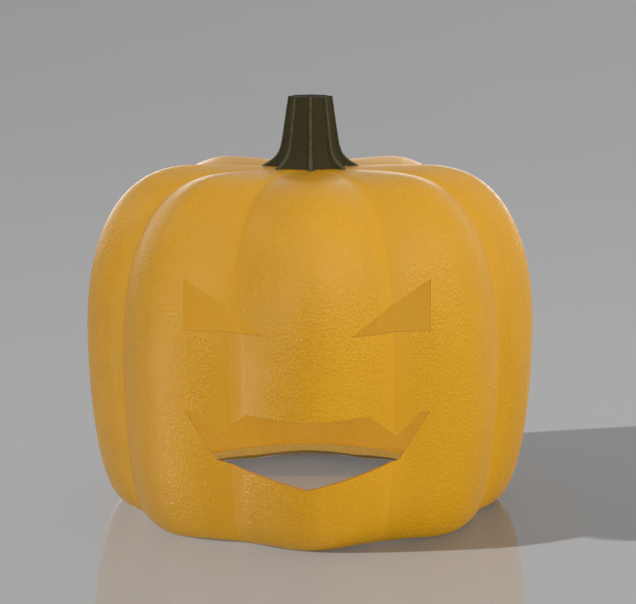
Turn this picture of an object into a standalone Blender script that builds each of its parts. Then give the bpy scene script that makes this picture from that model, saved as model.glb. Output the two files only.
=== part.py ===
"""Carved pumpkin lantern: a hollow ribbed fruit, cut open from below, with two slanted
eyes, a fanged mouth and its dry stem. Metres, +Z up, the face looks along -Y.
The origin is on the ground at the fruit's axis."""

import bpy
import bmesh
import math

# Driving sizes, metres
RADIUS = 0.1500            # axis to the ridges of the front, back and side lobes
MINOR_LOBE = 0.941         # the four diagonal lobes, as a share of RADIUS
GROOVE_RADIUS = 0.1328     # bottom of the grooves at the widest level
EQUATOR_Z = 0.1128         # height of the widest level
RIDGE_TOP_Z = 0.2278       # highest line of the lobes
RIDGE_TOP_RADIUS = 0.0724  # where that line lies
CROWN_Z = 0.2269           # flat disc that the stem stands on
CROWN_RADIUS = 0.0335
WALL = 0.0045              # rind and flesh together
HOLE_RADIUS = 0.0921       # the round hole in the bottom
HOLE_X = -0.0020           # its middle, a little to the left
HOLE_EDGE_RIDGE_Z = 0.0094
HOLE_EDGE_GROOVE_Z = 0.0077
HOLE_EDGE_INSIDE_Z = 0.0139
FOOT_RADIUS = 0.1225       # inner limit of the ring on which the lobes stand
GROOVE_FOOT_RADIUS = 0.1150
FOOT_DROP = 0.0007         # how far the soft feet are flattened
FOOT_ROUND = 0.0200        # height over which the flattening dies out
TREAD_RADIUS = 0.1260      # outer limit of the flat foot, and its height before flattening
TREAD_Z = 0.0002
BELOW = -0.0015            # the round sections would go on to this height below the ground
LOBE_UNDER_RADIUS = 0.1107         # where the low curve of each kind would end there
MINOR_LOBE_UNDER_RADIUS = 0.1143
GROOVE_UNDER_RADIUS = 0.0944

LOBES = 8
STEPS_PER_LOBE = 8
OUTER_ROWS = 24
INNER_ROWS = 17
BASE_ROWS = 3              # from the feet in to the edge of the hole
BEND_WEIGHT = 0.060        # metres of section that one radian of bend counts for
LEAN_FROM = -0.45          # radians below the widest level

# Face, seen from the front: X, Z. It sits a little to the left of the axis.
FACE_X = -0.0029
EYE_OUTER_X = 0.0764
EYE_INNER_X = 0.0262
EYE_TOP_Z = 0.1692
EYE_OUTER_Z = 0.1374
EYE_INNER_Z = 0.1384
FANG_OUTER_X = 0.0765
FANG_INNER_X = 0.0705
FANG_Z = 0.0868
NOTCH_X = 0.0558
NOTCH_Z = 0.0718
LIP_X = 0.0377
LIP_Z = 0.0880
LIP_MIDDLE_Z = 0.0872
CORNER_X = 0.0569
CORNER_Z = 0.0563
CHIN_Z = 0.0428

# Stem
STEM_GAP = 0.00035
STEM_TOP_Z = 0.2735
STEM_TOP_RADIUS = 0.0147
STEM_FOOT_RADIUS = 0.0213  # without the flare
STEM_FLARE = 0.0110
STEM_FLARE_HEIGHT = 0.0052
STEM_RIBS = 8
STEPS_PER_RIB = 6
STEM_ROWS = 13


def superellipse(r_in, r_out, z_far, z_mid, n, m, steps):
    """Quarter superellipse from (r_in, z_far) to (r_out, z_mid)."""
    points = []
    for i in range(steps + 1):
        t = 0.5 * math.pi * i / steps
        r = r_in + (r_out - r_in) * math.sin(t) ** (2.0 / n)
        z = z_mid + (z_far - z_mid) * max(math.cos(t), 0.0) ** (2.0 / m)
        points.append((r, z))
    return points


def ridge_curve(radius, low_radius):
    """Section of a lobe along its ridge, from the crown round to under the foot."""
    rise = []
    for i in range(20):
        s = i / 20.0
        r = CROWN_RADIUS + (RIDGE_TOP_RADIUS - CROWN_RADIUS) * s
        z = CROWN_Z + (RIDGE_TOP_Z - CROWN_Z) * (1.0 - (1.0 - s) ** 2)
        rise.append((r, z))
    top = superellipse(RIDGE_TOP_RADIUS, radius, RIDGE_TOP_Z, EQUATOR_Z, 2.57, 2.33, 160)
    low = superellipse(low_radius, radius, BELOW, EQUATOR_Z, 3.88, 1.72, 400)[::-1]
    low = [p for p in low[1:] if p[1] > 0.0]
    return rise + top + low + [(GROOVE_FOOT_RADIUS, 0.0)]


def groove_curve():
    """Section along the bottom of a groove, over the same range."""
    top = superellipse(0.0, GROOVE_RADIUS, CROWN_Z, EQUATOR_Z, 4.89, 2.03, 320)
    top = [p for p in top if p[0] > CROWN_RADIUS]
    low = superellipse(GROOVE_UNDER_RADIUS, GROOVE_RADIUS, BELOW, EQUATOR_Z, 6.12, 1.60, 400)[::-1]
    low = [p for p in low[1:] if p[1] > 0.0]
    return [(CROWN_RADIUS, CROWN_Z)] + top + low


def inset(curve, distance):
    """The same section moved inwards by the wall thickness."""
    moved = []
    last = len(curve) - 1
    for i, (r, z) in enumerate(curve):
        a = curve[max(i - 1, 0)]
        b = curve[min(i + 1, last)]
        dr, dz = b[0] - a[0], b[1] - a[1]
        length = math.hypot(dr, dz)
        moved.append((r + distance * dz / length, z - distance * dr / length))
    moved[0] = (curve[0][0], curve[0][1] - distance)
    return moved


def bearing(point):
    """Angle of a section point above the equator's level, from the axis."""
    return math.atan2(point[1] - EQUATOR_Z, point[0])


def divide(curve, longest=0.0010):
    """Adds points so that the flat stretches stay flat when read by angle."""
    fine = [curve[0]]
    for a, b in zip(curve, curve[1:]):
        parts = max(1, math.ceil(math.hypot(b[0] - a[0], b[1] - a[1]) / longest))
        for i in range(1, parts + 1):
            f = i / parts
            fine.append((a[0] + (b[0] - a[0]) * f, a[1] + (b[1] - a[1]) * f))
    return fine


def polar(curve):
    """Section as (angle, distance) pairs about the fruit's middle, falling angle."""
    pairs = []
    for p in divide(curve):
        a = bearing(p)
        if not pairs or a < pairs[-1][0] - 1e-7:
            pairs.append((a, math.hypot(p[0], p[1] - EQUATOR_Z)))
    return pairs


def reach(pairs, angle):
    """Distance from the middle to the section in one direction."""
    lo, hi = 0, len(pairs) - 1
    if angle >= pairs[lo][0]:
        return pairs[lo][1]
    if angle <= pairs[hi][0]:
        return pairs[hi][1]
    while hi - lo > 1:
        mid = (lo + hi) // 2
        if pairs[mid][0] > angle:
            lo = mid
        else:
            hi = mid
    f = (pairs[lo][0] - angle) / (pairs[lo][0] - pairs[hi][0])
    return pairs[lo][1] + (pairs[hi][1] - pairs[lo][1]) * f


def even_angles(curve, rows, stops=()):
    """Angles of rows along a section, closer where it bends, with exact stops put in."""
    lengths = [0.0]
    heading = None
    for a, b in zip(curve, curve[1:]):
        dr, dz = b[0] - a[0], b[1] - a[1]
        step = math.hypot(dr, dz)
        turned = math.atan2(dz, dr)
        if heading is not None:
            bend = abs((turned - heading + math.pi) % (2.0 * math.pi) - math.pi)
            step += BEND_WEIGHT * bend
        heading = turned
        lengths.append(lengths[-1] + step)
    angles = []
    for i in range(rows):
        want = lengths[-1] * i / (rows - 1)
        k = 1
        while k < len(curve) - 1 and lengths[k] < want:
            k += 1
        f = (want - lengths[k - 1]) / (lengths[k] - lengths[k - 1])
        r = curve[k - 1][0] + (curve[k][0] - curve[k - 1][0]) * f
        z = curve[k - 1][1] + (curve[k][1] - curve[k - 1][1]) * f
        angles.append(bearing((r, z)))
    for s in stops:
        a = bearing(s)
        near = min(range(1, rows - 1), key=lambda j: abs(angles[j] - a))
        angles[near] = a
    return sorted(angles, reverse=True)


def swell(u):
    """How far a lobe stands out of its grooves; u is -1 and 1 at the grooves."""
    soft = 0.15
    power = 0.640
    low = (soft * soft) ** power
    high = (1.0 + soft * soft) ** power
    return 1.0 - ((u * u + soft * soft) ** power - low) / (high - low)


def flatten_foot(z):
    """Lets the lobes sink a little, so that each stands on a flat patch."""
    if z > FOOT_ROUND:
        return z
    return max(z - FOOT_DROP * (1.0 - z / FOOT_ROUND), 0.0)


def columns():
    """Lobe number, place across the lobe (-1 to 1) and bearing of each column."""
    for k in range(LOBES):
        for j in range(STEPS_PER_LOBE):
            u = 2.0 * j / STEPS_PER_LOBE - 1.0
            yield k, u, (k + 0.5 * u) * 2.0 * math.pi / LOBES


def lean(angle, u):
    """Below LEAN_FROM the rows run lower in the grooves than on the lobes."""
    if angle > LEAN_FROM:
        return angle
    lobe_end = bearing((FOOT_RADIUS, 0.0))
    groove_end = bearing((GROOVE_FOOT_RADIUS, 0.0003))
    end = groove_end + (lobe_end - groove_end) * swell(u)
    return LEAN_FROM + (angle - LEAN_FROM) * (end - LEAN_FROM) / (lobe_end - LEAN_FROM)


def skin_rings(angles, sections, standing):
    """Rings of points round the axis, one ring for each angle."""
    major, minor, groove = sections
    rings = []
    for row_angle in angles:
        ring = []
        for k, u, around in columns():
            angle = lean(row_angle, u) if standing else row_angle
            rg = reach(groove, angle)
            rp = reach(major if k % 2 == 0 else minor, angle)
            rho = rg + (rp - rg) * swell(u)
            r = rho * math.cos(angle)
            z = EQUATOR_Z + rho * math.sin(angle)
            if standing:
                z = flatten_foot(z)
            ring.append((r * math.sin(around), -r * math.cos(around), z))
        rings.append(ring)
    return rings


def base_rings(foot_ring, ridge_z, groove_z):
    """Rings from the feet up to the edge of the hole, in one smooth slope."""
    rings = []
    for row in range(1, BASE_ROWS + 1):
        s = row / BASE_ROWS
        ring = []
        for (x, y, z), (k, u, around) in zip(foot_ring, columns()):
            edge_z = groove_z + (ridge_z - groove_z) * swell(u)
            edge_x = HOLE_X + HOLE_RADIUS * math.sin(around)
            edge_y = -HOLE_RADIUS * math.cos(around)
            lift = 0.5 - 0.5 * math.cos(math.pi * s)
            ring.append((x + (edge_x - x) * s, y + (edge_y - y) * s, z + (edge_z - z) * lift))
        rings.append(ring)
    return rings


def bridge(bm, ring_a, ring_b):
    count = len(ring_a)
    for i in range(count):
        j = (i + 1) % count
        bm.faces.new((ring_a[i], ring_b[i], ring_b[j], ring_a[j]))


def new_object(name, bm, material):
    mesh = bpy.data.meshes.new(name)
    bm.normal_update()
    bm.to_mesh(mesh)
    bm.free()
    obj = bpy.data.objects.new(name, mesh)
    bpy.context.scene.collection.objects.link(obj)
    if material is not None:
        mesh.materials.append(material)
    return obj


def make_material(name, colour, roughness):
    mat = bpy.data.materials.new(name)
    mat.use_nodes = True
    shader = mat.node_tree.nodes["Principled BSDF"]
    shader.inputs["Base Color"].default_value = colour
    shader.inputs["Roughness"].default_value = roughness
    shader.inputs["Metallic"].default_value = 0.0
    mat.diffuse_color = colour
    return mat


def build_shell(material):
    """The hollow fruit: outer skin, edge of the bottom hole, and the scraped inside."""
    outer = [ridge_curve(RADIUS, LOBE_UNDER_RADIUS),
             ridge_curve(RADIUS * MINOR_LOBE, MINOR_LOBE_UNDER_RADIUS),
             groove_curve()]
    inner = [inset(c, WALL) for c in outer]
    tread = (TREAD_RADIUS, TREAD_Z)
    to_foot = outer[0][:-1] + [(FOOT_RADIUS, 0.0)]
    out_angles = even_angles(to_foot, OUTER_ROWS, (tread,))
    in_angles = even_angles(inner[0], INNER_ROWS)
    out_rings = skin_rings(out_angles, [polar(c) for c in outer], True)
    in_rings = skin_rings(in_angles, [polar(c) for c in inner], False)
    out_rings += base_rings(out_rings[-1], HOLE_EDGE_RIDGE_Z, HOLE_EDGE_GROOVE_Z)
    in_rings += base_rings(in_rings[-1], HOLE_EDGE_INSIDE_Z, HOLE_EDGE_INSIDE_Z)

    bm = bmesh.new()
    rings = []
    for ring in out_rings + in_rings[::-1]:
        rings.append([bm.verts.new(p) for p in ring])
    bm.faces.new(rings[0])
    for a, b in zip(rings, rings[1:]):
        bridge(bm, a, b)
    bm.faces.new(rings[-1][::-1])
    bmesh.ops.recalc_face_normals(bm, faces=bm.faces)
    shell = new_object("shell", bm, material)
    shell.data.shade_smooth()
    shell.data.set_sharp_from_angle(angle=math.radians(40))
    return shell


def prism(name, outline, y_front, y_back):
    """A cutter: a flat outline in X and Z, pushed straight back along Y."""
    bm = bmesh.new()
    front = [bm.verts.new((x, y_front, z)) for x, z in outline]
    back = [bm.verts.new((x, y_back, z)) for x, z in outline]
    bm.faces.new(front)
    bm.faces.new(back[::-1])
    count = len(outline)
    for i in range(count):
        j = (i + 1) % count
        bm.faces.new((front[i], back[i], back[j], front[j]))
    bmesh.ops.recalc_face_normals(bm, faces=bm.faces)
    cutter = new_object(name, bm, None)
    cutter.hide_render = True
    cutter.display_type = "WIRE"
    return cutter


def cut(target, cutter):
    mod = target.modifiers.new(cutter.name, "BOOLEAN")
    mod.operation = "DIFFERENCE"
    mod.object = cutter


def eye_outline(side):
    return [(FACE_X + side * EYE_OUTER_X, EYE_TOP_Z),
            (FACE_X + side * EYE_OUTER_X, EYE_OUTER_Z),
            (FACE_X + side * EYE_INNER_X, EYE_INNER_Z)]


def mouth_outline():
    half = [(FANG_OUTER_X, FANG_Z), (FANG_INNER_X, FANG_Z), (NOTCH_X, NOTCH_Z), (LIP_X, LIP_Z)]
    right = [(FACE_X + x, z) for x, z in half]
    left = [(FACE_X - x, z) for x, z in reversed(half)]
    lower = [(FACE_X - CORNER_X, CORNER_Z), (FACE_X, CHIN_Z), (FACE_X + CORNER_X, CORNER_Z)]
    return right + [(FACE_X, LIP_MIDDLE_Z)] + left + lower


def build_stem(material):
    """Dry stem: eight sharp ribs with hollow flutes, flaring to eight toes."""
    base_z = CROWN_Z + STEM_GAP
    height = STEM_TOP_Z - base_z
    bm = bmesh.new()
    rings = []
    for row in range(STEM_ROWS):
        up = (row / (STEM_ROWS - 1)) ** 1.6
        z = base_z + height * up
        rib = STEM_FOOT_RADIUS + (STEM_TOP_RADIUS - STEM_FOOT_RADIUS) * up
        flare = math.exp(-(height * up / STEM_FLARE_HEIGHT) ** 1.3)
        rib += STEM_FLARE * flare
        depth = 0.13 + 0.17 * flare
        ring = []
        for k in range(STEM_RIBS):
            for j in range(STEPS_PER_RIB):
                v = j / STEPS_PER_RIB
                around = (k + v) * 2.0 * math.pi / STEM_RIBS
                r = rib * (1.0 - depth * math.sin(math.pi * v) ** 0.8)
                ring.append(bm.verts.new((r * math.sin(around), -r * math.cos(around), z)))
        rings.append(ring)
    bm.faces.new(rings[0][::-1])
    for a, b in zip(rings, rings[1:]):
        bridge(bm, a, b)
    bm.faces.new(rings[-1])
    bmesh.ops.recalc_face_normals(bm, faces=bm.faces)
    stem = new_object("stem", bm, material)
    stem.data.shade_smooth()
    stem.data.set_sharp_from_angle(angle=math.radians(35))
    return stem


def main():
    for obj in list(bpy.data.objects):
        bpy.data.objects.remove(obj, do_unlink=True)
    rind = make_material("pumpkin_flesh", (0.610, 0.305, 0.022, 1.0), 0.45)
    wood = make_material("dry_stem", (0.052, 0.045, 0.012, 1.0), 0.75)
    shell = build_shell(rind)
    front = -0.2000
    behind = -0.0500
    cut(shell, prism("cut_eye_left", eye_outline(-1.0), front, behind))
    cut(shell, prism("cut_eye_right", eye_outline(1.0), front, behind))
    cut(shell, prism("cut_mouth", mouth_outline(), front, behind))
    build_stem(wood)


main()
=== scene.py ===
"""Looks of the carved pumpkin lantern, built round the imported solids: the pebbled rind with
its carved openings, the dry ribbed stem, a plain floor, soft light and the camera."""

import math

import bmesh
import bpy
import numpy as np
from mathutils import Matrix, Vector, noise


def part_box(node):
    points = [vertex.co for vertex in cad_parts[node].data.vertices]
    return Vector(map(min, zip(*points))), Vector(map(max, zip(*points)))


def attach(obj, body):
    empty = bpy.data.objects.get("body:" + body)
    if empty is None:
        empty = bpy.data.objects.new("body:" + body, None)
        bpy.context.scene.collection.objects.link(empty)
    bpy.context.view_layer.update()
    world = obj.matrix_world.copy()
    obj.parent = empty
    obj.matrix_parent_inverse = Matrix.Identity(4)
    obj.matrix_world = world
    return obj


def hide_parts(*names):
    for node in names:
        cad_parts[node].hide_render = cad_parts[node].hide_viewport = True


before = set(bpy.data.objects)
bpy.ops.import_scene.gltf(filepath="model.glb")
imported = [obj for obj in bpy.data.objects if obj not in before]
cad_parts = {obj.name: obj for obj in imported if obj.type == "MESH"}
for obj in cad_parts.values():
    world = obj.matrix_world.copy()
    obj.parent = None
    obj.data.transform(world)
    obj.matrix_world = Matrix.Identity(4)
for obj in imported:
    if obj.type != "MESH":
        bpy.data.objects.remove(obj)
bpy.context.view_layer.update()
SHELL_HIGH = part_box("shell")[1]
STEM_LOW, STEM_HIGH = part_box("stem")

# Fruit, metres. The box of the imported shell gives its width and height.
RADIUS = SHELL_HIGH.x
RIDGE_TOP_Z = SHELL_HIGH.z
MINOR_LOBE = 0.941
GROOVE_RADIUS = 0.1328
EQUATOR_Z = 0.1128
RIDGE_TOP_RADIUS = 0.0724
CROWN_Z = 0.2269
CROWN_RADIUS = 0.0335
CROWN_DISC_RADIUS = 0.0190
CROWN_DIP = 0.0007
WALL = 0.0045
EDGE_WALL = 0.0013
EDGE_BEVEL = 0.0100
BELOW = -0.0015
LOBE_UNDER_RADIUS = 0.1107
MINOR_LOBE_UNDER_RADIUS = 0.1143
GROOVE_UNDER_RADIUS = 0.0944
FOOT_RADIUS = 0.1225
GROOVE_FOOT_RADIUS = 0.1150
FOOT_DROP = 0.0007
FOOT_ROUND = 0.0200
LEAN_FROM = -0.45
HOLE_RADIUS = 0.0921
HOLE_X = -0.0020
HOLE_EDGE_RIDGE_Z = 0.0094
HOLE_EDGE_GROOVE_Z = 0.0077
HOLE_EDGE_INSIDE_Z = 0.0139
GROOVE_WALL_SHARE = 0.40
GROOVE_WALL_REACH = 0.30

# How square the curves of the section are, across and up
LOBE_TOP_BEND = (2.57, 2.33)
LOBE_UNDER_BEND = (3.88, 1.72)
GROOVE_TOP_BEND = (4.89, 2.03)
GROOVE_UNDER_BEND = (6.12, 1.60)

LOBES = 8
STEPS_PER_LOBE = 40
OUTER_ROWS = 132
INNER_ROWS = 76
BASE_ROWS = 10
EDGE_ROWS = 3
BEND_WEIGHT = 0.045
RIND_SHARP_ANGLE = math.radians(28.0)

# Face: X and Z from the front
FACE_X = -0.0029
EYE_OUTER_X = 0.0764
EYE_INNER_X = 0.0262
EYE_TOP_Z = 0.1692
EYE_OUTER_Z = 0.1374
EYE_INNER_Z = 0.1384
FANG_OUTER_X = 0.0765
FANG_INNER_X = 0.0705
FANG_Z = 0.0868
NOTCH_X = 0.0558
NOTCH_Z = 0.0718
LIP_X = 0.0377
LIP_Z = 0.0880
LIP_MIDDLE_Z = 0.0872
CORNER_X = 0.0569
CORNER_Z = 0.0563
CHIN_Z = 0.0428
CUT_FRONT_Y = -0.2000
CUT_BACK_Y = -0.0500

# Stem
STEM_BASE_Z = STEM_LOW.z
STEM_TOP_Z = STEM_HIGH.z
STEM_TOP_RADIUS = 0.0147
STEM_FOOT_RADIUS = 0.0213
STEM_FLARE = 0.0110
STEM_FLARE_HEIGHT = 0.0052
STEM_RIBS = 8
STEPS_PER_RIB = 26
STEM_ROWS = 96
STEM_TOP_RINGS = 9
STEM_SHARP_ANGLE = math.radians(42.0)

# Camera, as the photograph was taken
FRAME_WIDTH = 636
FOCAL_PIXELS = 2075.4
AXIS_PIXEL = 310.2
CAMERA_DISTANCE = 1.3750
CAMERA_HEIGHT = 0.3791
CAMERA_PITCH = 0.1756
CAMERA_AZIMUTH = math.radians(-0.5)
SENSOR = 36.0

FLOOR_HALF_WIDTH = 40.0
FLOOR_DROP = 0.0004

# Light. The floor has suns of its own, so its shadow is as clear as in the photograph.
# The rind shades the first list of suns. The second casts no shadow and lights the hollow too.
# Each row: name, azimuth, elevation, strength, spread
WORLD_FRONT = 0.45
WORLD_LEFT = 0.65
WORLD_RIGHT = 1.35
WIDE_SPREAD = 60.0
INNER_POWER = 0.29
INNER_COLOUR = (0.70, 1.0, 1.0)
INNER_SIZE = 0.13
INNER_PLACE = (0.0, -0.055, 0.115)
INNER_TILT = math.radians(72.0)
HOLLOW_FLOOR_POWER = 1.65
HOLLOW_FLOOR_COLOUR = (0.80, 1.0, 1.15)
HOLLOW_FLOOR_CONE = math.radians(62.0)
HOLLOW_FLOOR_HEIGHT = 0.200
FLOOR_KEY = ("floor_key", -78.0, 23.0, 10.2, 1.5)
FLOOR_FILL = ("floor_fill", 0.0, 80.0, 1.6, 60.0)
SHADED_SUNS = [
    ("right_front", 50.0, 8.0, 0.74, 60.0),
    ("right", 80.0, -4.0, 0.66, 60.0),
    ("right_low", 70.0, -15.0, 0.80, 90.0),
    ("below", 45.0, -40.0, 0.45, 90.0),
    ("left_back", -105.0, 32.0, 0.22, 30.0),
    ("left_glint", -46.0, 10.0, 0.32, 12.0),
    ("right_glint", 66.0, 30.0, 0.14, 20.0),
    ("front_glint", 34.0, 28.0, 0.18, 20.0),
]
OPEN_SUNS = [
    ("front_wide", 0.0, 10.0, 0.72, 150.0),
    ("front", -12.0, 42.0, 0.80, 80.0),
    ("rim_left", -157.0, -8.0, 0.70, 42.0),
    ("rim_left_edge", -168.0, 0.0, 0.25, 20.0),
    ("rim_right", 160.0, -12.0, 0.70, 36.0),
    ("rim_right_edge", 170.0, 0.0, 0.25, 20.0),
]


def superellipse(r_in, r_out, z_far, z_mid, n, m, steps=700):
    """Quarter superellipse from (r_in, z_far) to (r_out, z_mid), as rows of (r, z)."""
    t = np.linspace(0.0, 0.5 * math.pi, steps + 1)
    r = r_in + (r_out - r_in) * np.sin(t) ** (2.0 / n)
    z = z_mid + (z_far - z_mid) * np.maximum(np.cos(t), 0.0) ** (2.0 / m)
    return np.column_stack((r, z))


def ridge_curve(radius, low_radius):
    """Section of a lobe along its ridge, from the crown round to under the foot."""
    s = np.linspace(0.0, 1.0, 60, endpoint=False)
    rise_r = CROWN_RADIUS + (RIDGE_TOP_RADIUS - CROWN_RADIUS) * s
    rise_z = CROWN_Z + (RIDGE_TOP_Z - CROWN_Z) * (1.0 - (1.0 - s) ** 2)
    start = [(CROWN_DISC_RADIUS, CROWN_Z)]
    top = superellipse(RIDGE_TOP_RADIUS, radius, RIDGE_TOP_Z, EQUATOR_Z, *LOBE_TOP_BEND)
    low = superellipse(low_radius, radius, BELOW, EQUATOR_Z, *LOBE_UNDER_BEND)[::-1]
    low = low[1:][low[1:, 1] > 0.0]
    end = [(GROOVE_FOOT_RADIUS, 0.0)]
    return np.vstack((start, np.column_stack((rise_r, rise_z)), top, low, end))


def groove_curve():
    """Section along the bottom of a groove. It starts under the edge of the stem."""
    top = superellipse(0.0, GROOVE_RADIUS, CROWN_Z, EQUATOR_Z, *GROOVE_TOP_BEND)
    top = top[top[:, 0] > CROWN_DISC_RADIUS]
    into = np.clip((top[:, 0] - CROWN_DISC_RADIUS) / 0.009, 0.0, 1.0)
    out = np.clip((0.075 - top[:, 0]) / 0.040, 0.0, 1.0)
    top[:, 1] -= CROWN_DIP * smooth(into) * smooth(out)
    low = superellipse(GROOVE_UNDER_RADIUS, GROOVE_RADIUS, BELOW, EQUATOR_Z, *GROOVE_UNDER_BEND)[::-1]
    low = low[1:][low[1:, 1] > 0.0]
    return np.vstack(([(CROWN_DISC_RADIUS, CROWN_Z)], top, low))


def smooth(t):
    return t * t * (3.0 - 2.0 * t)


def divide(curve, longest=0.0006):
    """The same section with points close together on its flat stretches too."""
    steps = np.hypot(*np.diff(curve, axis=0).T)
    along = np.concatenate(([0.0], np.cumsum(steps)))
    dense = np.linspace(0.0, along[-1], int(along[-1] / longest) + 1)
    marks = np.union1d(along, dense)
    return np.column_stack((np.interp(marks, along, curve[:, 0]), np.interp(marks, along, curve[:, 1])))


def inset(curve, distance):
    """The same section moved inwards."""
    before = np.vstack((curve[:1], curve[:-1]))
    after = np.vstack((curve[1:], curve[-1:]))
    d = after - before
    length = np.hypot(d[:, 0], d[:, 1])
    moved = curve + distance * np.column_stack((d[:, 1], -d[:, 0])) / length[:, None]
    moved[0] = curve[0] - (0.0, distance)
    return moved


def bearing(r, z):
    return np.arctan2(z - EQUATOR_Z, r)


def polar(curve):
    """Section as rising angles about the fruit's middle and distances from it."""
    dense = divide(curve)
    angle = bearing(dense[:, 0], dense[:, 1])
    lowest = np.minimum.accumulate(angle)
    keep = np.concatenate(([True], lowest[1:] < lowest[:-1] - 1e-7))
    reach = np.hypot(dense[:, 0], dense[:, 1] - EQUATOR_Z)
    return angle[keep][::-1], reach[keep][::-1]


def even_angles(curve, rows):
    """Angles of rows along a section, closer together where it bends."""
    dense = divide(curve, 0.0003)
    d = np.diff(dense, axis=0)
    heading = np.unwrap(np.arctan2(d[:, 1], d[:, 0]))
    bend = np.concatenate(([0.0], np.abs(np.diff(heading))))
    cost = np.concatenate(([0.0], np.cumsum(np.hypot(d[:, 0], d[:, 1]) + BEND_WEIGHT * bend)))
    want = np.linspace(0.0, cost[-1], rows)
    return bearing(np.interp(want, cost, dense[:, 0]), np.interp(want, cost, dense[:, 1]))


def swell(u):
    """How far a lobe stands out of its grooves; u is -1 and 1 at the grooves."""
    soft = 0.15
    power = 0.640
    low = (soft * soft) ** power
    high = (1.0 + soft * soft) ** power
    return 1.0 - ((u * u + soft * soft) ** power - low) / (high - low)


def columns():
    """Place across the lobe, bearing round the axis and kind of lobe of each column."""
    lobe = np.repeat(np.arange(LOBES), STEPS_PER_LOBE)
    u = np.tile(2.0 * np.arange(STEPS_PER_LOBE) / STEPS_PER_LOBE - 1.0, LOBES)
    around = (lobe + 0.5 * u) * 2.0 * math.pi / LOBES
    return u, around, lobe % 2 == 0


U, AROUND, IS_MAJOR = columns()


def lean(angles):
    """Below LEAN_FROM the rows run lower in the grooves than on the lobes."""
    lobe_end = bearing(FOOT_RADIUS, 0.0)
    groove_end = bearing(GROOVE_FOOT_RADIUS, 0.0003)
    end = groove_end + (lobe_end - groove_end) * swell(U)
    grid = np.repeat(angles[:, None], len(U), axis=1)
    low = LEAN_FROM + (grid - LEAN_FROM) * (end - LEAN_FROM) / (lobe_end - LEAN_FROM)
    return np.where(grid > LEAN_FROM, grid, low)


def distances(grid, sections):
    """Distance of each skin point from the fruit's middle."""
    major, minor, groove = [np.interp(grid, *s) for s in sections]
    ridge = np.where(IS_MAJOR, major, minor)
    return groove + (ridge - groove) * swell(U)


def placed(rho, grid):
    """Skin points in space."""
    r = rho * np.cos(grid)
    z = EQUATOR_Z + rho * np.sin(grid)
    return np.stack((r * np.sin(AROUND), -r * np.cos(AROUND), z), axis=-1)


def flatten_foot(points):
    z = points[..., 2]
    low = np.maximum(z - FOOT_DROP * (1.0 - z / FOOT_ROUND), 0.0)
    points[..., 2] = np.where(z > FOOT_ROUND, z, low)
    return points


def base_rings(foot_ring, ridge_z, groove_z):
    """Rings from the feet up to the edge of the bottom hole."""
    edge = np.stack((HOLE_X + HOLE_RADIUS * np.sin(AROUND),
                     -HOLE_RADIUS * np.cos(AROUND),
                     groove_z + (ridge_z - groove_z) * swell(U)), axis=-1)
    rings = []
    for row in range(1, BASE_ROWS + 1):
        s = row / BASE_ROWS
        ring = foot_ring + (edge - foot_ring) * s
        lift = 0.5 - 0.5 * math.cos(math.pi * s)
        ring[:, 2] = foot_ring[:, 2] + (edge[:, 2] - foot_ring[:, 2]) * lift
        rings.append(ring)
    return np.array(rings)


def eye_outline(side):
    return [(FACE_X + side * EYE_OUTER_X, EYE_TOP_Z),
            (FACE_X + side * EYE_OUTER_X, EYE_OUTER_Z),
            (FACE_X + side * EYE_INNER_X, EYE_INNER_Z)]


def mouth_outline():
    half = [(FANG_OUTER_X, FANG_Z), (FANG_INNER_X, FANG_Z), (NOTCH_X, NOTCH_Z), (LIP_X, LIP_Z)]
    right = [(FACE_X + x, z) for x, z in half]
    left = [(FACE_X - x, z) for x, z in reversed(half)]
    lower = [(FACE_X - CORNER_X, CORNER_Z), (FACE_X, CHIN_Z), (FACE_X + CORNER_X, CORNER_Z)]
    return right + [(FACE_X, LIP_MIDDLE_Z)] + left + lower


OPENINGS = [eye_outline(-1.0), eye_outline(1.0), mouth_outline()]


def gap_to_outline(x, z, outline):
    """Distance in the front view from points to an outline, zero inside it."""
    nearest = np.full(x.shape, 1.0)
    inside = np.zeros(x.shape, bool)
    for (ax, az), (bx, bz) in zip(outline, outline[1:] + outline[:1]):
        dx, dz = bx - ax, bz - az
        t = np.clip(((x - ax) * dx + (z - az) * dz) / (dx * dx + dz * dz), 0.0, 1.0)
        nearest = np.minimum(nearest, np.hypot(x - ax - t * dx, z - az - t * dz))
        if az != bz:
            crosses = ((az > z) != (bz > z)) & (x < ax + dx * (z - az) / dz)
            inside ^= crosses
    return np.where(inside, 0.0, nearest)


def wall_share(points):
    """Share of the full wall: thin at the carved edges and along the grooves."""
    x, y, z = points[..., 0], points[..., 1], points[..., 2]
    gap = np.full(x.shape, 1.0)
    for outline in OPENINGS:
        gap = np.minimum(gap, gap_to_outline(x, z, outline))
    gap = np.where(y < 0.0, gap, 1.0)
    thin = EDGE_WALL / WALL
    at_edge = thin + (1.0 - thin) * smooth(np.clip(gap / EDGE_BEVEL, 0.0, 1.0))
    from_groove = smooth(np.clip((1.0 - np.abs(U)) / GROOVE_WALL_REACH, 0.0, 1.0))
    at_groove = GROOVE_WALL_SHARE + (1.0 - GROOVE_WALL_SHARE) * from_groove
    return np.minimum(at_edge, at_groove)


def grid_faces(first, rows, count):
    """Quads between rings that follow each other in the vertex list."""
    i = np.arange(count)
    j = (i + 1) % count
    low = first + count * np.arange(rows - 1)[:, None]
    return np.stack((low + i, low + count + i, low + count + j, low + j), axis=-1).reshape(-1, 4)


def new_object(name, points, faces, materials):
    mesh = bpy.data.meshes.new(name)
    mesh.from_pydata(points.tolist(), [], faces)
    mesh.validate()
    obj = bpy.data.objects.new(name, mesh)
    bpy.context.scene.collection.objects.link(obj)
    for material in materials:
        mesh.materials.append(material)
    return obj


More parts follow.
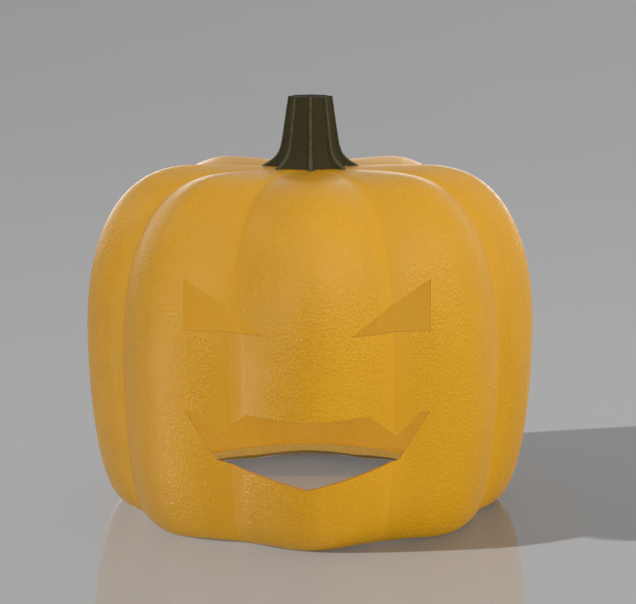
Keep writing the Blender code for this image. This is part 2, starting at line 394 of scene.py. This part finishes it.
def rind_grid():
    """The whole skin as one closed run of rings: out, under, up the hole's edge, inside."""
    outer = [ridge_curve(RADIUS, LOBE_UNDER_RADIUS),
             ridge_curve(RADIUS * MINOR_LOBE, MINOR_LOBE_UNDER_RADIUS),
             groove_curve()]
    inner = [inset(divide(c), WALL) for c in outer]
    out_polar = [polar(c) for c in outer]
    in_polar = [polar(c) for c in inner]

    to_foot = np.vstack((outer[0][:-1], [(FOOT_RADIUS, 0.0)]))
    grid = lean(even_angles(to_foot, OUTER_ROWS))
    outside = flatten_foot(placed(distances(grid, out_polar), grid))
    under = base_rings(outside[-1], HOLE_EDGE_RIDGE_Z, HOLE_EDGE_GROOVE_Z)

    grid = np.repeat(even_angles(inner[0], INNER_ROWS)[:, None], len(U), axis=1)
    far = distances(grid, out_polar)
    share = wall_share(placed(far, grid))
    full = far - distances(grid, in_polar)
    inside = placed(far - full * share, grid)
    ledge = base_rings(inside[-1], HOLE_EDGE_INSIDE_Z, HOLE_EDGE_INSIDE_Z)

    steps = np.linspace(0.0, 1.0, EDGE_ROWS + 2)[1:-1]
    edge = np.array([under[-1] + (ledge[-1] - under[-1]) * s for s in steps])
    return outside, under, edge, ledge[::-1], inside[::-1]


def carve(obj, flesh):
    """Cuts the eyes and the mouth straight through the front wall."""
    points = []
    faces = []
    for outline in OPENINGS:
        count = len(outline)
        first = len(points)
        points += [(x, CUT_FRONT_Y, z) for x, z in outline]
        points += [(x, CUT_BACK_Y, z) for x, z in outline]
        faces.append([first + i for i in range(count)])
        faces.append([first + count + i for i in reversed(range(count))])
        for i in range(count):
            j = (i + 1) % count
            faces.append([first + i, first + count + i, first + count + j, first + j])
    cutter = new_object("cutter", np.array(points), faces, [flesh])
    turn_outwards(cutter)
    mod = obj.modifiers.new("carve", "BOOLEAN")
    mod.operation = "DIFFERENCE"
    mod.solver = "EXACT"
    mod.material_mode = "TRANSFER"
    mod.object = cutter
    apply_modifiers(obj)
    bpy.data.objects.remove(cutter, do_unlink=True)


def turn_outwards(obj):
    bm = bmesh.new()
    bm.from_mesh(obj.data)
    bmesh.ops.recalc_face_normals(bm, faces=bm.faces)
    bm.to_mesh(obj.data)
    bm.free()


def apply_modifiers(obj):
    graph = bpy.context.evaluated_depsgraph_get()
    made = bpy.data.meshes.new_from_object(obj.evaluated_get(graph))
    obj.modifiers.clear()
    old = obj.data
    obj.data = made
    bpy.data.meshes.remove(old)


def vertex_array(mesh):
    co = np.zeros(len(mesh.vertices) * 3)
    mesh.vertices.foreach_get("co", co)
    return co.reshape(-1, 3)


def write_attribute(mesh, name, values):
    attribute = mesh.attributes.new(name, "FLOAT", "POINT")
    attribute.data.foreach_set("value", values.astype(np.float32))


def mark_inside(mesh):
    """Marks the faces of the hollow, which look towards the fruit's middle."""
    inside = mesh.attributes.new("inside", "FLOAT", "FACE")
    middle = Vector((0.0, 0.0, EQUATOR_Z))
    for face, mark in zip(mesh.polygons, inside.data):
        mark.value = float(face.normal.dot(face.center - middle) < 0.0)


def build_rind(rind, flesh):
    count = len(U)
    parts = rind_grid()
    points = np.concatenate([p.reshape(-1, 3) for p in parts])
    rows = sum(len(p) for p in parts)
    faces = grid_faces(0, rows, count).tolist()
    faces.append(list(range(count)))
    faces.append(list(range((rows - 1) * count, rows * count))[::-1])
    obj = new_object("rind", points, faces, [rind, flesh])
    edge_first = (len(parts[0]) + len(parts[1]) - 1) * count
    edge_last = edge_first + (EDGE_ROWS + 1) * count
    index = np.zeros(len(obj.data.polygons), np.int32)
    index[edge_first:edge_last] = 1
    obj.data.polygons.foreach_set("material_index", index)
    turn_outwards(obj)
    carve(obj, flesh)
    mesh = obj.data
    co = vertex_array(mesh)
    turn = np.arctan2(co[:, 0], -co[:, 1]) * LOBES / (2.0 * math.pi)
    across = np.abs(2.0 * (turn - np.round(turn)))
    write_attribute(mesh, "across", across)
    mark_inside(mesh)
    mesh.shade_smooth()
    mesh.set_sharp_from_angle(angle=RIND_SHARP_ANGLE)
    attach(obj, "root")
    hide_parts("shell")
    return obj


def rib_profile(v):
    """Depth of a flute, 0 on the ribs and 1 on its floor; v runs from rib to rib."""
    side = np.minimum(v, 1.0 - v)
    crest = smooth(np.clip((side - 0.035) / 0.135, 0.0, 1.0))
    hollow = 0.12 * np.sin(math.pi * v)
    return 0.88 * crest + hollow


def fibre(points, scale, stretch, seed):
    """Noise drawn out along the stem."""
    out = np.zeros(len(points))
    for i, (x, y, z) in enumerate(points):
        out[i] = noise.noise(Vector((x * scale, y * scale, z * scale / stretch + seed)))
    return out


def build_stem(wood):
    count = STEM_RIBS * STEPS_PER_RIB
    height = STEM_TOP_Z - STEM_BASE_Z
    up = np.linspace(0.0, 1.0, STEM_ROWS) ** 1.35
    v = np.tile(np.arange(STEPS_PER_RIB) / STEPS_PER_RIB, STEM_RIBS)
    around = np.arange(count) * 2.0 * math.pi / count
    flare = np.exp(-(height * up / STEM_FLARE_HEIGHT) ** 1.3)
    rib = STEM_FOOT_RADIUS + (STEM_TOP_RADIUS - STEM_FOOT_RADIUS) * up + STEM_FLARE * flare
    depth = 0.125 + 0.165 * flare
    flute = rib_profile(v)
    r = rib[:, None] * (1.0 - depth[:, None] * flute[None, :])
    z = np.repeat((STEM_BASE_Z + height * up)[:, None], count, axis=1)
    wall = np.stack((r * np.sin(around), -r * np.cos(around), z), axis=-1)
    flat = wall.reshape(-1, 3)
    rough = 0.00022 * fibre(flat, 900.0, 5.0, 3.0) + 0.00016 * fibre(flat, 2300.0, 3.0, 9.0)
    outward = np.column_stack((np.tile(np.sin(around), STEM_ROWS), -np.tile(np.cos(around), STEM_ROWS)))
    fade = np.repeat(np.clip(up * 12.0, 0.0, 1.0), count)
    flat[:, :2] += outward * (np.minimum(rough, 0.00005) * fade)[:, None]
    rings = [flat.reshape(STEM_ROWS, count, 3)]
    rim = rings[0][-1]
    centre = rim.mean(axis=0)
    tops = []
    for k in range(1, STEM_TOP_RINGS + 1):
        s = 1.0 - k / (STEM_TOP_RINGS + 0.6)
        ring = centre + (rim - centre) * s
        ring[:, 2] = STEM_TOP_Z - 0.0007 * (1.0 - s * s)
        ring[:, 2] -= 0.00045 * (0.5 + 0.5 * fibre(ring, 520.0, 1.0, 21.0))
        tops.append(ring)
    rings.append(np.array(tops))
    points = np.concatenate([p.reshape(-1, 3) for p in rings])
    rows = STEM_ROWS + STEM_TOP_RINGS
    faces = grid_faces(0, rows, count).tolist()
    faces.append(list(range(count)))
    faces.append(list(range((rows - 1) * count, rows * count))[::-1])
    obj = new_object("stem_bark", points, faces, [wood])
    turn_outwards(obj)
    mesh = obj.data
    on_rib = np.tile(1.0 - flute, STEM_ROWS)
    on_top = np.concatenate((np.zeros(STEM_ROWS * count), np.ones(STEM_TOP_RINGS * count)))
    write_attribute(mesh, "rib", np.concatenate((on_rib, np.zeros(STEM_TOP_RINGS * count))))
    write_attribute(mesh, "cut_top", on_top)
    mesh.shade_smooth()
    mesh.set_sharp_from_angle(angle=STEM_SHARP_ANGLE)
    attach(obj, "root")
    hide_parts("stem")
    return obj


class Nodes:
    """A material's node tree, with short calls to add and join nodes."""

    def __init__(self, name):
        self.material = bpy.data.materials.new(name)
        self.material.use_nodes = True
        self.tree = self.material.node_tree
        self.shader = self.tree.nodes["Principled BSDF"]

    def add(self, kind, **settings):
        node = self.tree.nodes.new(kind)
        for key, value in settings.items():
            setattr(node, key, value)
        return node

    def join(self, source, target):
        self.tree.links.new(source, target)

    def set(self, node, **values):
        for key, value in values.items():
            node.inputs[key.replace("_", " ")].default_value = value

    def noise(self, vector, scale, detail=3.0, roughness=0.5, distortion=0.0):
        node = self.add("ShaderNodeTexNoise")
        self.set(node, Scale=scale, Detail=detail, Roughness=roughness, Distortion=distortion)
        self.join(vector, node.inputs["Vector"])
        return node.outputs["Fac"]

    def ramp(self, source, *stops):
        node = self.add("ShaderNodeValToRGB")
        elements = node.color_ramp.elements
        while len(elements) < len(stops):
            elements.new(0.5)
        for element, (position, colour) in zip(elements, stops):
            element.position = position
            element.color = (*colour, 1.0)
        self.join(source, node.inputs["Fac"])
        return node.outputs["Color"]

    def span(self, source, low, high, out_low=0.0, out_high=1.0):
        node = self.add("ShaderNodeMapRange", interpolation_type="SMOOTHSTEP")
        node.inputs["From Min"].default_value = low
        node.inputs["From Max"].default_value = high
        node.inputs["To Min"].default_value = out_low
        node.inputs["To Max"].default_value = out_high
        self.join(source, node.inputs["Value"])
        return node.outputs["Result"]

    def maths(self, operation, a, b):
        node = self.add("ShaderNodeMath", operation=operation)
        for socket, value in zip(node.inputs, (a, b)):
            if isinstance(value, (int, float)):
                socket.default_value = value
            else:
                self.join(value, socket)
        return node.outputs["Value"]

    def mix(self, factor, a, b, blend="MIX"):
        node = self.add("ShaderNodeMix", data_type="RGBA", blend_type=blend)
        for socket, value in ((node.inputs[0], factor), (node.inputs[6], a), (node.inputs[7], b)):
            if isinstance(value, (int, float)):
                socket.default_value = value
            elif isinstance(value, tuple):
                socket.default_value = (*value, 1.0)
            else:
                self.join(value, socket)
        return node.outputs[2]

    def attribute(self, name):
        return self.add("ShaderNodeAttribute", attribute_name=name).outputs["Fac"]

    def position(self):
        return self.add("ShaderNodeTexCoord").outputs["Object"]

    def bump(self, height, strength, distance):
        node = self.add("ShaderNodeBump")
        node.inputs["Distance"].default_value = distance
        if isinstance(strength, float):
            node.inputs["Strength"].default_value = strength
        else:
            self.join(strength, node.inputs["Strength"])
        self.join(height, node.inputs["Height"])
        return node.outputs["Normal"]


def rind_material():
    """Golden rind: leathery pebbles about 2 mm across, smoother along the grooves."""
    n = Nodes("pumpkin_rind")
    at = n.position()
    across = n.attribute("across")
    away = n.span(across, 0.97, 0.72)
    bent = n.add("ShaderNodeTexNoise")
    n.set(bent, Scale=330.0, Detail=1.0)
    n.join(at, bent.inputs["Vector"])
    push = n.add("ShaderNodeVectorMath", operation="MULTIPLY_ADD")
    push.inputs[1].default_value = (0.0012, 0.0012, 0.0012)
    n.join(bent.outputs["Color"], push.inputs[0])
    n.join(at, push.inputs[2])
    cells = n.add("ShaderNodeTexVoronoi", feature="SMOOTH_F1")
    n.set(cells, Scale=560.0, Smoothness=0.35)
    n.join(push.outputs["Vector"], cells.inputs["Vector"])
    pebble = n.span(cells.outputs["Distance"], 0.75, 0.15)
    grain = n.noise(at, 900.0, 2.0, 0.5)
    height = n.maths("ADD", pebble, n.maths("MULTIPLY", grain, 0.30))
    strength = n.maths("MULTIPLY", away, 1.0)
    n.join(n.bump(height, strength, 0.00020), n.shader.inputs["Normal"])

    blotch = n.noise(at, 16.0, 3.0, 0.55)
    speckle = n.noise(at, 260.0, 2.0, 0.6)
    colour = n.ramp(blotch, (0.30, (0.600, 0.288, 0.0022)), (0.70, (0.645, 0.314, 0.0035)))
    colour = n.mix(n.span(speckle, 0.62, 0.80, 0.0, 0.10), colour, (0.66, 0.36, 0.03))
    # Darker in the hollows between the pebbles, away from the grooves: painted shade.
    low = n.maths("MULTIPLY", away, n.span(height, 0.75, 0.25, 0.0, 0.22))
    colour = n.mix(low, colour, (0.50, 0.225, 0.0015))
    # A thin pale, greyish line right along each groove: a painted highlight for the shine at the lobes'
    # edges.
    colour = n.mix(n.span(across, 0.985, 1.0, 0.0, 0.16), colour, (0.66, 0.38, 0.06))
    # The faces of the hollow get a greyer tone with more blue: a painted sheen in place of the shine
    # they lack.
    colour = n.mix(n.attribute("inside"), colour, (0.63, 0.310, 0.032))
    n.join(colour, n.shader.inputs["Base Color"])

    patch = n.noise(at, 30.0, 2.0, 0.5)
    dull = n.maths("ADD", n.span(patch, 0.3, 0.7, 0.28, 0.33), n.span(across, 0.74, 0.92, 0.0, 0.24))
    n.join(dull, n.shader.inputs["Roughness"])
    n.shader.inputs["IOR"].default_value = 1.45
    return n.material


def flesh_material():
    """Cut flesh at the edge of the bottom hole and of the carved openings."""
    n = Nodes("cut_flesh")
    at = n.position()
    strand = n.noise(at, 420.0, 4.0, 0.6, 0.8)
    broad = n.noise(at, 60.0, 2.0, 0.5)
    colour = n.ramp(strand, (0.30, (0.47, 0.214, 0.022)), (0.72, (0.58, 0.320, 0.085)))
    colour = n.mix(n.span(broad, 0.4, 0.7, 0.0, 0.35), colour, (0.51, 0.275, 0.070))
    n.join(colour, n.shader.inputs["Base Color"])
    n.join(n.bump(strand, 0.35, 0.00025), n.shader.inputs["Normal"])
    n.join(n.span(broad, 0.3, 0.7, 0.42, 0.55), n.shader.inputs["Roughness"])
    return n.material


def bark_material():
    """Dry stem: dark olive brown with a mottled, fibrous skin; its paler, greyer rib crests are partly
    its dry colour and partly a painted highlight.
    """
    n = Nodes("stem_bark")
    at = n.position()
    drawn = n.add("ShaderNodeMapping")
    drawn.inputs["Scale"].default_value = (1.0, 1.0, 0.22)
    n.join(at, drawn.inputs["Vector"])
    fibres = n.noise(drawn.outputs["Vector"], 1500.0, 4.0, 0.65)
    mottle = n.noise(at, 700.0, 3.0, 0.65)
    patch = n.noise(at, 130.0, 2.0, 0.5)
    rib = n.attribute("rib")
    top = n.attribute("cut_top")
    colour = n.ramp(mottle, (0.34, (0.016, 0.0138, 0.0025)), (0.68, (0.042, 0.036, 0.0075)))
    colour = n.mix(n.span(patch, 0.42, 0.66, 0.0, 0.6), colour, (0.030, 0.0235, 0.0040))
    colour = n.mix(n.span(rib, 0.30, 0.05, 0.0, 0.55), colour, (0.034, 0.025, 0.0050))
    # Paler, greyer streaks on the rib crests: partly the stem's dry colour, partly a painted highlight
    # for the lit side of each rib.
    colour = n.mix(n.maths("MULTIPLY", n.span(rib, 0.62, 1.0), n.span(fibres, 0.30, 0.60)),
                   colour, (0.085, 0.081, 0.045))
    colour = n.mix(top, colour, (0.018, 0.015, 0.004))
    n.join(colour, n.shader.inputs["Base Color"])
    height = n.maths("ADD", n.maths("MULTIPLY", fibres, 0.8), mottle)
    n.join(n.bump(height, 0.6, 0.00035), n.shader.inputs["Normal"])
    n.join(n.span(fibres, 0.3, 0.7, 0.5, 0.8), n.shader.inputs["Roughness"])
    n.shader.inputs["Specular IOR Level"].default_value = 0.20
    return n.material


def floor_material():
    n = Nodes("floor_grey")
    at = n.position()
    patch = n.noise(at, 1.5, 2.0, 0.5)
    colour = n.ramp(patch, (0.35, (0.168, 0.168, 0.168)), (0.65, (0.172, 0.172, 0.172)))
    n.join(colour, n.shader.inputs["Base Color"])
    n.shader.inputs["Roughness"].default_value = 0.06
    n.shader.inputs["IOR"].default_value = 1.5
    return n.material


def build_floor():
    w = FLOOR_HALF_WIDTH
    points = np.array([(-w, -w, 0.0), (w, -w, 0.0), (w, w, 0.0), (-w, w, 0.0)])
    floor = new_object("floor", points, [[0, 1, 2, 3]], [floor_material()])
    floor.location.z = -FLOOR_DROP
    return floor


def group(name, *objects):
    """A named set of pieces for a light to reach or to be shaded by."""
    collection = bpy.data.collections.new(name)
    for obj in objects:
        collection.objects.link(obj)
    return collection


def place_light(name, data, lit, shaded_by):
    """A light for one set of pieces, with the shadows of another set or with none."""
    obj = bpy.data.objects.new(name, data)
    bpy.context.scene.collection.objects.link(obj)
    obj.light_linking.receiver_collection = lit
    if shaded_by is None:
        data.use_shadow = False
    else:
        obj.light_linking.blocker_collection = shaded_by
    return obj


def add_sun(name, azimuth, elevation, strength, spread, lit, shaded_by):
    """A distant light. Azimuth 0 is behind the camera and 90 is on the right.

    A shaded light with a wide spread gives no shine of its own.
    """
    data = bpy.data.lights.new(name, "SUN")
    data.energy = strength
    data.angle = math.radians(spread)
    obj = place_light(name, data, lit, shaded_by)
    a, e = math.radians(azimuth), math.radians(elevation)
    away = Vector((math.sin(a) * math.cos(e), -math.cos(a) * math.cos(e), math.sin(e)))
    obj.rotation_euler = away.to_track_quat("Z", "Y").to_euler()
    obj.visible_glossy = spread < WIDE_SPREAD or shaded_by is None


def add_inner_light(lit, shaded_by):
    """A soft panel inside the fruit that faces the back wall, seen only by what it lights."""
    data = bpy.data.lights.new("inner_panel", "AREA")
    data.shape = "DISK"
    data.size = INNER_SIZE
    data.energy = INNER_POWER
    data.color = INNER_COLOUR
    obj = place_light("inner_panel", data, lit, shaded_by)
    obj.location = INNER_PLACE
    obj.rotation_euler = (INNER_TILT, 0.0, 0.0)
    obj.visible_camera = False
    obj.visible_glossy = False


def add_hollow_floor_light(lit):
    """Keeps the floor under the bottom opening as bright as the floor in the shadow."""
    data = bpy.data.lights.new("hollow_floor", "SPOT")
    data.energy = HOLLOW_FLOOR_POWER
    data.color = HOLLOW_FLOOR_COLOUR
    data.spot_size = HOLLOW_FLOOR_CONE
    data.spot_blend = 0.1
    data.shadow_soft_size = 0.02
    obj = place_light("hollow_floor", data, lit, None)
    obj.location = (HOLE_X, 0.0, HOLLOW_FLOOR_HEIGHT)
    obj.visible_glossy = False


def build_world():
    """Soft surroundings: dimmest at the horizon and in front, brightest overhead and right."""
    world = bpy.data.worlds.new("studio")
    world.use_nodes = True
    tree = world.node_tree
    coordinates = tree.nodes.new("ShaderNodeTexCoord")
    split = tree.nodes.new("ShaderNodeSeparateXYZ")
    ramp = tree.nodes.new("ShaderNodeValToRGB")
    tree.links.new(coordinates.outputs["Generated"], split.inputs["Vector"])
    tree.links.new(split.outputs["Z"], ramp.inputs["Fac"])
    background = tree.nodes["Background"]
    tree.links.new(ramp.outputs["Color"], background.inputs["Color"])
    elements = ramp.color_ramp.elements
    stops = [(0.0, 0.29), (0.12, 0.34), (0.24, 0.46), (1.0, 0.60)]
    while len(elements) < len(stops):
        elements.new(0.5)
    for element, (position, value) in zip(elements, stops):
        element.position = position
        element.color = (value, value, value, 1.0)
    shares = []
    spans = (("Y", -0.6, 0.3, WORLD_FRONT, 1.0), ("X", -1.0, 1.0, WORLD_LEFT, WORLD_RIGHT))
    for axis, start, end, low, high in spans:
        share = tree.nodes.new("ShaderNodeMapRange")
        tree.links.new(split.outputs[axis], share.inputs["Value"])
        share.inputs["From Min"].default_value = start
        share.inputs["From Max"].default_value = end
        share.inputs["To Min"].default_value = low
        share.inputs["To Max"].default_value = high
        shares.append(share.outputs["Result"])
    product = tree.nodes.new("ShaderNodeMath")
    product.operation = "MULTIPLY"
    tree.links.new(shares[0], product.inputs[0])
    tree.links.new(shares[1], product.inputs[1])
    tree.links.new(product.outputs["Value"], background.inputs["Strength"])
    bpy.context.scene.world = world


def build_camera():
    data = bpy.data.cameras.new("photo")
    data.sensor_fit = "HORIZONTAL"
    data.sensor_width = SENSOR
    data.lens = FOCAL_PIXELS / FRAME_WIDTH * SENSOR
    data.shift_x = (0.5 * FRAME_WIDTH - AXIS_PIXEL) / FRAME_WIDTH
    data.clip_start = 0.05
    data.clip_end = 200.0
    obj = bpy.data.objects.new("photo", data)
    bpy.context.scene.collection.objects.link(obj)
    obj.location = (math.sin(CAMERA_AZIMUTH) * CAMERA_DISTANCE,
                    -math.cos(CAMERA_AZIMUTH) * CAMERA_DISTANCE,
                    CAMERA_HEIGHT)
    obj.rotation_euler = (0.5 * math.pi - CAMERA_PITCH, 0.0, CAMERA_AZIMUTH)
    bpy.context.scene.camera = obj


def build_lights(rind, stem, floor):
    fruit = group("lit_fruit", rind, stem)
    skin = group("fruit_skin", rind)
    ground = group("lit_floor", floor)
    for sun in SHADED_SUNS:
        add_sun(*sun, fruit, skin)
    for sun in OPEN_SUNS:
        add_sun(*sun, fruit, None)
    add_inner_light(fruit, skin)
    add_sun(*FLOOR_KEY, ground, fruit)
    add_sun(*FLOOR_FILL, ground, None)
    add_hollow_floor_light(ground)


build_camera()
build_world()
RIND = build_rind(rind_material(), flesh_material())
STEM = build_stem(bark_material())
FLOOR = build_floor()
build_lights(RIND, STEM, FLOOR)
bpy.context.scene.view_settings.view_transform = "Standard"
